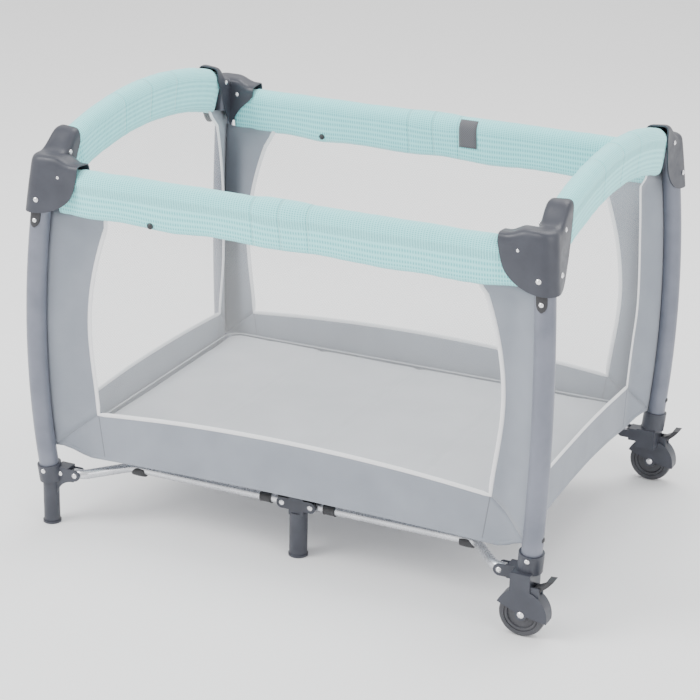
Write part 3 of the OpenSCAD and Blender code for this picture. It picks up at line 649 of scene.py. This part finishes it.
class Wall:
    """One wall, where u runs along it and z up.

    Its middle is flat just inside the rails, and its ends curve out to the posts.
    """

    def __init__(self, name, along_x, sign, body, axis, keep, seed):
        self.name, self.along_x, self.sign, self.body = name, along_x, sign, body
        self.axis, self.keep, self.seed = axis, keep, seed
        self.flat = WALL_Y if along_x else WALL_X
        self.half_post = POST_X if along_x else POST_Y
        self.other_post = POST_Y if along_x else POST_X
        self.window_bottom, self.window_mid = (0.382, 0.397) if along_x else (0.262, 0.285)
        self.window_top = 0.347 if along_x else 0.245

    def reach(self, z):
        return self.half_post + post_out(z) - EDGE_IN

    def top(self, u):
        if self.along_x:
            return RAIL_Z - COVER_DROP + TOP_TUCK
        return arch_z(min(abs(u), 0.31), COVER_DROP - TOP_TUCK)

    def hem(self, u):
        reach = self.reach(HEM_Z)
        rise = 0.009 * (1 - (u / reach) ** 2) if self.along_x else 0.026 * (1 - (u / reach) ** 2)
        return HEM_Z + rise + 0.026 * smooth((abs(u) - reach + 0.060) / 0.055)

    def place(self, u, z, out=0.0):
        """The wall's surface at u and z; out is how far outside it."""
        start = self.half_post - CURVE_RUN
        bend = smooth((abs(u) - start) / (self.reach(z) - start))
        depth = mix(self.flat, self.other_post + post_out(z) - EDGE_IN, bend)
        lift = smooth((z - self.top(u) + 0.034) / 0.03)
        depth = mix(depth, max(depth, self.other_post - 0.0075), lift)
        soft = noise.noise(Vector((u * 5 + self.seed, z * 6, self.seed)))
        fine = noise.noise(Vector((u * 19 + self.seed, z * 9, 7.7)))
        depth += (0.0009 * soft + 0.0004 * fine) * (1 - bend) - 0.0004 + out
        if self.along_x:
            return at(u, self.sign * depth, z)
        return at(self.sign * depth, u, z)

    def window_floor(self, u):
        mid, fall = (0.238, 0.020) if self.along_x else (0.231, 0.009)
        return mid - fall * (abs(u) / self.window_bottom) ** 2

    def window_half(self, z):
        zb, zm, zt = WINDOW_LOW, WINDOW_WIDEST, self.top(self.window_top)
        if z < zm:
            return mix(self.window_bottom, self.window_mid, smooth((z - zb) / (zm - zb)) ** 0.8)
        return mix(self.window_mid, self.window_top, ((z - zm) / (zt - zm)) ** 1.9)

    def loops(self):
        """Matching points of the wall's outer edge and of the window's edge.

        Both go down one side, along the bottom and up the other side.
        """
        inner, outer = [], []
        side, bottom = SIDE_STEPS, BOTTOM_STEPS
        for s in (-1, 1):
            for i in range(side):
                t = i / side if s < 0 else 1 - (i + 1) / side
                z_in = mix(self.top(self.window_top), self.window_floor(self.window_bottom), t)
                inner.append((s * self.window_half(z_in), z_in))
                z_low = self.hem(self.reach(HEM_Z))
                z_out = mix(self.top(self.half_post), z_low, t)
                outer.append((s * self.reach(z_out), z_out))
            if s < 0:
                for i in range(bottom + 1):
                    t = -1 + 2 * i / bottom
                    u = t * self.window_bottom
                    inner.append((u, self.window_floor(u)))
                    u = t * self.reach(self.hem(self.reach(HEM_Z)))
                    outer.append((u, self.hem(u)))
        return outer, inner

    def unrolled(self, outline):
        """The outline as cut from flat cloth: each point's distance along the curved wall, and its height."""
        flat = []
        for u, z in outline:
            steps = 40
            run = [self.place(u * k / steps, z) for k in range(steps + 1)]
            length = sum((b - a).length for a, b in zip(run, run[1:]))
            flat.append((math.copysign(length, u), z))
        return flat

    def follow(self, made):
        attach(made, self.body)
        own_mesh(made)
        return made

    def border(self):
        """Two side strips and a bottom band, cut and sewn as the seams below the window's corners show."""
        outer, inner = self.loops()
        turn = SIDE_STEPS + BOTTOM_STEPS
        parts = (("strip_a", 0, SIDE_STEPS), ("band", SIDE_STEPS, turn), ("strip_b", turn, len(outer) - 1))
        for part, first, last in parts:
            out, near = outer[first:last + 1], inner[first:last + 1]
            rings, verts = 12, []
            for k in range(rings + 1):
                t = k / rings
                for (uo, zo), (ui, zi) in zip(out, near):
                    verts.append(self.place(mix(uo, ui, t), mix(zo, zi, t)))
            made = piece(f"{self.name}_{part}", verts, grid_faces(rings + 1, len(out)), "grey_fabric")
            modify(made, "SOLIDIFY", thickness=CLOTH_THICK, offset=0)
            if part == "band":
                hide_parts(self.name)
            cut = self.unrolled(out + near[::-1])
            flat_area(cut)
            self.follow(made)

    def net(self):
        rows, cols = 36, 64 if self.along_x else 44
        verts = []
        for j in range(rows + 1):
            for i in range(cols + 1):
                s = -1 + 2 * i / cols
                low = self.window_floor(s * self.window_bottom) - 0.003
                z = mix(low, self.top(s * self.window_top) - 0.0005, j / rows)
                u = s * (self.window_half(max(z, WINDOW_LOW)) + 0.003)
                verts.append(self.place(u, z, -0.0008))
        made = piece(self.name.replace("wall", "net"), verts, grid_faces(rows + 1, cols + 1), "white_mesh")
        cut = self.unrolled(self.loops()[1])
        flat_area(cut)
        return self.follow(made)

    def ribbon(self, name, line, wide, thick, slot, out=0.0):
        path = [self.place(u, z, out) for u, z in line]
        across, normal = [], []
        facing = Vector((0, self.sign, 0)) if self.along_x else Vector((self.sign, 0, 0))
        for i in range(len(path)):
            way = (path[min(i + 1, len(path) - 1)] - path[max(i - 1, 0)]).normalized()
            side = way.cross(facing).normalized()
            across.append(side)
            normal.append(side.cross(way).normalized())
        return self.follow(loft(name, sweep(path, across, normal, wide, thick), slot))

    def trim(self):
        outer, inner = self.loops()
        self.ribbon(self.name + "_piping", inner, 0.0042, 0.0017, "white_piping", 0.0002)
        hem = [(u, z + 0.003) for u, z in outer[SIDE_STEPS:SIDE_STEPS + BOTTOM_STEPS + 1]]
        self.ribbon(self.name + "_hem", hem, 0.0040, 0.0013, "grey_fabric")
        for s, part in ((-1, "a"), (1, "b")):
            u0 = s * self.window_bottom
            u1 = s * (self.window_bottom - 0.012)
            steps = 10
            line = [(mix(u0, u1, i / steps), mix(self.window_floor(u0), self.hem(u1), i / steps))
                    for i in range(steps + 1)]
            self.ribbon(f"{self.name}_seam_{part}", line, 0.0011, 0.0011, "seam_thread")


# ---------- mattress and floor ----------
SIM_FRAMES = 20


def mattress_pad():
    lo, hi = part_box("mattress")
    inset = 0.004
    lo, hi = lo + Vector((inset, inset, 0.001)), hi - Vector((inset, inset, 0.003))
    work = bmesh.new()
    bmesh.ops.create_cube(work, size=1)
    for v in work.verts:
        v.co = Vector(mix(lo[k], hi[k], v.co[k] + 0.5) for k in range(3))
    upright = [e for e in work.edges if abs((e.verts[0].co - e.verts[1].co).z) > 1e-4]
    bmesh.ops.bevel(work, geom=upright, offset=0.028, segments=6, affect="EDGES", profile=0.5)
    mesh = bpy.data.meshes.new("mattress_pad")
    work.to_mesh(mesh)
    work.free()
    pad = bpy.data.objects.new("mattress_pad", mesh)
    bpy.context.scene.collection.objects.link(pad)
    bpy.context.view_layer.objects.active = pad
    modify(pad, "REMESH", mode="VOXEL", voxel_size=0.006)
    bpy.ops.object.modifier_apply(modifier="Remesh")
    puff(pad, 4.0, 0.005)
    # three fold creases across, where the boards inside end, and a soft uneven top
    creases = [mix(lo.x, hi.x, f) for f in (0.25, 0.5, 0.75)]
    top = hi.z
    for v in pad.data.vertices:
        if v.co.z > (lo.z + hi.z) / 2:
            dip = sum(math.exp(-((v.co.x - c) / 0.006) ** 2) for c in creases)
            soft = noise.noise(Vector((v.co.x * 7, v.co.y * 7, 1.3))) + 0.5 * noise.noise(v.co * 16)
            v.co.z += 0.0011 * soft - 0.0030 * dip
            v.co.z = min(v.co.z, top + 0.0045)
    modify(pad, "SUBSURF", levels=1, render_levels=1)
    pad.data.shade_smooth()
    pad.data.materials.append(MATERIALS["mattress_fabric"])
    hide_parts("mattress")
    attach(pad, "mattress")
    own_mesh(pad)
    mattress_edges(lo, hi)


def mattress_edges(lo, hi):
    """Corded edges round the pad, top and bottom."""
    for name, z in (("upper", hi.z - 0.001), ("lower", lo.z + 0.002)):
        path = []
        grow, r = 0.0025, 0.030
        for cx, cy, start in ((hi.x - r, hi.y - r, 0), (lo.x + r, hi.y - r, 90), (lo.x + r, lo.y + r, 180),
                              (hi.x - r, lo.y + r, 270)):
            for k in range(9):
                a = math.radians(start + k * 90 / 8)
                path.append(Vector((cx + (r + grow) * math.cos(a), cy + (r + grow) * math.sin(a), z)))
        full = []
        for i, p in enumerate(path):
            q = path[(i + 1) % len(path)]
            steps = max(1, int((q - p).length / 0.02))
            full += [p.lerp(q, k / steps) for k in range(steps)]
        rings = tube_rings(full + [full[0]], 0.0016, 8)[:-1]
        faces = grid_faces(len(rings), 8, wrap_rows=True, wrap_cols=True)
        points = [p for ring in rings for p in ring]
        cordage = piece("mattress_edge_" + name, points, faces, "mattress_fabric")
        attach(cordage, "mattress")
        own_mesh(cordage)


def puff(pad, pressure, cap):
    """Blows the pad up a little by cloth simulation; no point moves further than cap."""
    start = np.array([v.co for v in pad.data.vertices])
    cloth = pad.modifiers.new("Cloth", "CLOTH")
    cloth.settings.use_pressure = True
    cloth.settings.uniform_pressure_force = pressure
    cloth.settings.effector_weights.gravity = 0
    cloth.settings.quality = 4
    cloth.point_cache.frame_start, cloth.point_cache.frame_end = 1, SIM_FRAMES
    scene = bpy.context.scene
    for f in range(1, SIM_FRAMES + 1):
        scene.frame_set(f)
    seen = pad.evaluated_get(bpy.context.evaluated_depsgraph_get())
    moved = np.array([v.co for v in seen.data.vertices]) - start
    far = np.linalg.norm(moved, axis=1, keepdims=True)
    moved *= np.minimum(1.0, cap / np.maximum(far, 1e-9))
    pad.modifiers.remove(cloth)
    scene.frame_set(1)
    for v, p in zip(pad.data.vertices, start + moved):
        v.co = p


def floor_cloth():
    """The fabric floor in its four folding quarters, each carried by its own lower rail."""
    lo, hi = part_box("floor_panel")
    cx = CENTRE_X
    for side, sy in (("front", -1), ("back", 1)):
        for half, sx in (("l", -1), ("r", 1)):
            rows, cols = 22, 30
            verts = []
            for j in range(rows + 1):
                for i in range(cols + 1):
                    x = cx + sx * mix(0.0, hi.x - cx, i / cols)
                    y = sy * mix(0.0, hi.y, j / rows)
                    # room for the pull strap's slit at the middle
                    if j == 0 and i <= 1:
                        y = sy * 0.012
                    sag = 0.0010 * noise.noise(Vector((x * 9, y * 9, 2.2)))
                    verts.append(Vector((x, y, (lo.z + hi.z) / 2 + sag)))
            made = piece(f"floor_fabric_{side}_{half}", verts, grid_faces(rows + 1, cols + 1), "grey_fabric")
            modify(made, "SOLIDIFY", thickness=CLOTH_THICK, offset=0)
            if (side, half) == ("front", "l"):
                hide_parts("floor_panel")
            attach(made, f"low_{side}_{half}")
            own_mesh(made)


# ---------- lower frame ----------
# half thickness of the plates round the lower pivots, and the radius of the pivots' rivet heads
PLATE_Y, PIVOT_HEAD = 0.0132, 0.0052


def low_frame():
    bend_x, bend_in = POST_X - 0.117, PIVOT_X - 0.012
    for side, sy in (("front", -1), ("back", 1)):
        for half, sx in (("l", -1), ("r", 1)):
            corners = [(CENTRE_PIVOT - 0.009, LOW_Y), (bend_x, LOW_Y),
                       (bend_in, POST_Y), (PIVOT_X + 0.009, POST_Y)]
            path = rounded_path(corners, 0.016)
            path = [at(sx * x, sy * y, LOW_Z) for x, y in path]
            tube = loft(f"bent_tube_{side}_{half}", tube_rings(path, 0.009, 20), "plated_steel")
            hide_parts(f"low_rail_{side}_{half}")
            body = f"low_{side}_{half}"
            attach(tube, body)
            x0, x1 = bend_x - 0.030, bend_x - 0.004
            run = [at(sx * mix(x0, x1, k / 6), sy * LOW_Y, LOW_Z - 0.0035) for k in range(7)]
            clip = tube_rings(run, lambda t: 0.0104 + 0.0006 * math.sin(math.pi * t), 20)
            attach(join_meshes(f"tube_clip_{side}_{half}", [clip], "dark_plastic"), body)
            run = [at(sx * (0.052 + 0.022 * k / 6), sy * LOW_Y, LOW_Z) for k in range(7)]
            sleeve = tube_rings(run, lambda t: 0.0108 + 0.0007 * (t < 0.15 or t > 0.85), 24)
            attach(join_meshes(f"tube_sleeve_{side}_{half}", [sleeve], "dark_plastic"), body)
        foot = "midfoot_" + side
        bar = rounded_block(at(0, sy * LOW_Y, LOW_Z + 0.0165), (0.082, 0.030, 0.005), 0.004)
        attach(bar_piece(f"midfoot_pad_{side}", bar), foot)
        heads = []
        for s in (-1, 1):
            for face in (-1, 1):
                place = at(s * CENTRE_PIVOT, sy * LOW_Y + face * PLATE_Y, LOW_Z)
                heads.append(dome(place, (0, face, 0), PIVOT_HEAD))
        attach(join_meshes(f"midfoot_rivets_{side}", heads, "rivet_steel"), foot)


def rounded_path(corners, radius):
    """A run of straight stretches joined by arcs, as plan points."""
    points = [Vector(corners[0])]
    for i in range(1, len(corners) - 1):
        p, a, b = Vector(corners[i]), Vector(corners[i - 1]), Vector(corners[i + 1])
        u, w = (a - p).normalized(), (b - p).normalized()
        cut = min(radius, (a - p).length * 0.6, (b - p).length * 0.6)
        for k in range(9):
            t = k / 8
            points.append((p + u * cut) * (1 - t) ** 2 + p * (2 * t * (1 - t)) + (p + w * cut) * t**2)
    points.append(Vector(corners[-1]))
    full = []
    for a, b in zip(points, points[1:]):
        steps = max(1, int((b - a).length / 0.03))
        full += [a.lerp(b, k / steps) for k in range(steps)]
    return [tuple(p) for p in full + [points[-1]]]


def rounded_block(centre, size, r):
    work = bmesh.new()
    bmesh.ops.create_cube(work, size=1)
    for v in work.verts:
        v.co = Vector(centre[k] + v.co[k] * size[k] for k in range(3))
    bmesh.ops.bevel(work, geom=list(work.edges), offset=min(r, min(size) * 0.42), segments=3,
                    affect="EDGES", profile=0.5)
    return work


def bar_piece(name, work):
    mesh = bpy.data.meshes.new(name)
    work.to_mesh(mesh)
    work.free()
    mesh.shade_smooth()
    made = bpy.data.objects.new(name, mesh)
    bpy.context.scene.collection.objects.link(made)
    made.data.materials.append(MATERIALS["dark_plastic"])
    return made


# ---------- trim on feet, casters, covers and inside ----------
def feet_and_caster_trim():
    small = 0.0046
    for tag, (sx, sy) in CORNERS.items():
        body, facing = "corner_" + tag, (0, sy, 0)
        heads = [dome(at(sx * PIVOT_X, sy * (POST_Y + PLATE_Y), LOW_Z), facing, PIVOT_HEAD),
                 dome(at(sx * (PIVOT_X + 0.030), sy * (POST_Y + PLATE_Y), LOW_Z - 0.001), facing, small)]
        # the rivet through the post sits higher on a caster bracket than on a foot
        above, along = (0.036, 0.0) if sx > 0 else (0.006, 0.001)
        z = LOW_Z + above
        on_post = at(sx * (POST_X + post_out(z) + along), sy * (POST_Y + post_out(z) + POST_R + 0.0036), z)
        heads.append(dome(on_post, facing, small))
        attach(join_meshes("joint_rivets_" + tag, heads, "rivet_steel"), body)
        # snap that holds the fabric's lower corner to the post
        z = 0.175
        place = at(sx * (POST_X + post_out(z) + POST_R - 0.001), sy * (POST_Y + post_out(z)), z)
        snap = dome(place, (sx, 0, 0), 0.0060, 0.0030)
        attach(join_meshes("corner_snap_" + tag, [snap], "dark_plastic"), body)


def cover_trim():
    for name, body, x, y, face, z in (
        ("snap_front", "top_front_l", -0.250, -(POST_Y + 0.0122), -1, 0.606),
        ("snap_back", "top_back_l", -0.239, POST_Y - 0.0130, -1, 0.609),
    ):
        made = join_meshes(name, [dome(at(x, y, z), (0, face, 0), 0.0058, 0.0034)], "dark_plastic")
        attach(made, body)
        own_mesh(made)
    # webbing patch on the inside of the back cover
    rings, columns = [], (0.055, 0.063, 0.073, 0.083, 0.091)
    for k in range(9):
        z = mix(0.629, 0.682, k / 8)
        if z < RAIL_Z:
            depth = mix(0.0157, COVER_R * 0.99, smooth((z - 0.615) / 0.05))
        else:
            depth = math.sqrt(max(0.0, (COVER_R + 0.0002) ** 2 - (z - RAIL_Z) ** 2))
        y = POST_Y - depth
        ring = [at(x, y - 0.0014, z) for x in columns]
        ring += [at(x, y + 0.0010, z) for x in columns[::-1]]
        rings.append(ring)
    patch = loft("webbing_patch", rings, "webbing")
    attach(patch, "top_back_r")
    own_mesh(patch)


def dress_cad():
    """Gives every CAD node that stays visible its procedural material, by its record slot."""
    slots = {s["node"]: s["material_slot"] for s in frame["record"]["subparts"]}
    for name, node in frame["nodes"].items():
        node.data.materials.clear()
        node.data.materials.append(MATERIALS[slots[name]])


make_camera()
make_stage()
dress_cad()
for tag, (sx, sy) in CORNERS.items():
    corner_cap(tag, "corner_" + tag, sx, sy)
    cap_trim(tag, "corner_" + tag, sx, sy)
rail_covers()
for wall in (
    Wall("wall_front", True, -1, "corner_fl", (1, 0, 0), KEEP_X, 1.1),
    Wall("wall_back", True, 1, "corner_bl", (1, 0, 0), KEEP_X, 4.2),
    Wall("wall_left", False, -1, "corner_fl", (0, 1, 0), KEEP_Y, 6.4),
    Wall("wall_right", False, 1, "corner_fr", (0, 1, 0), KEEP_Y, 8.9),
):
    wall.border()
    net = wall.net()
    if wall.name == "wall_front":
        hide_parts("mesh_windows")
    wall.trim()
mattress_pad()
floor_cloth()
low_frame()
feet_and_caster_trim()
cover_trim()
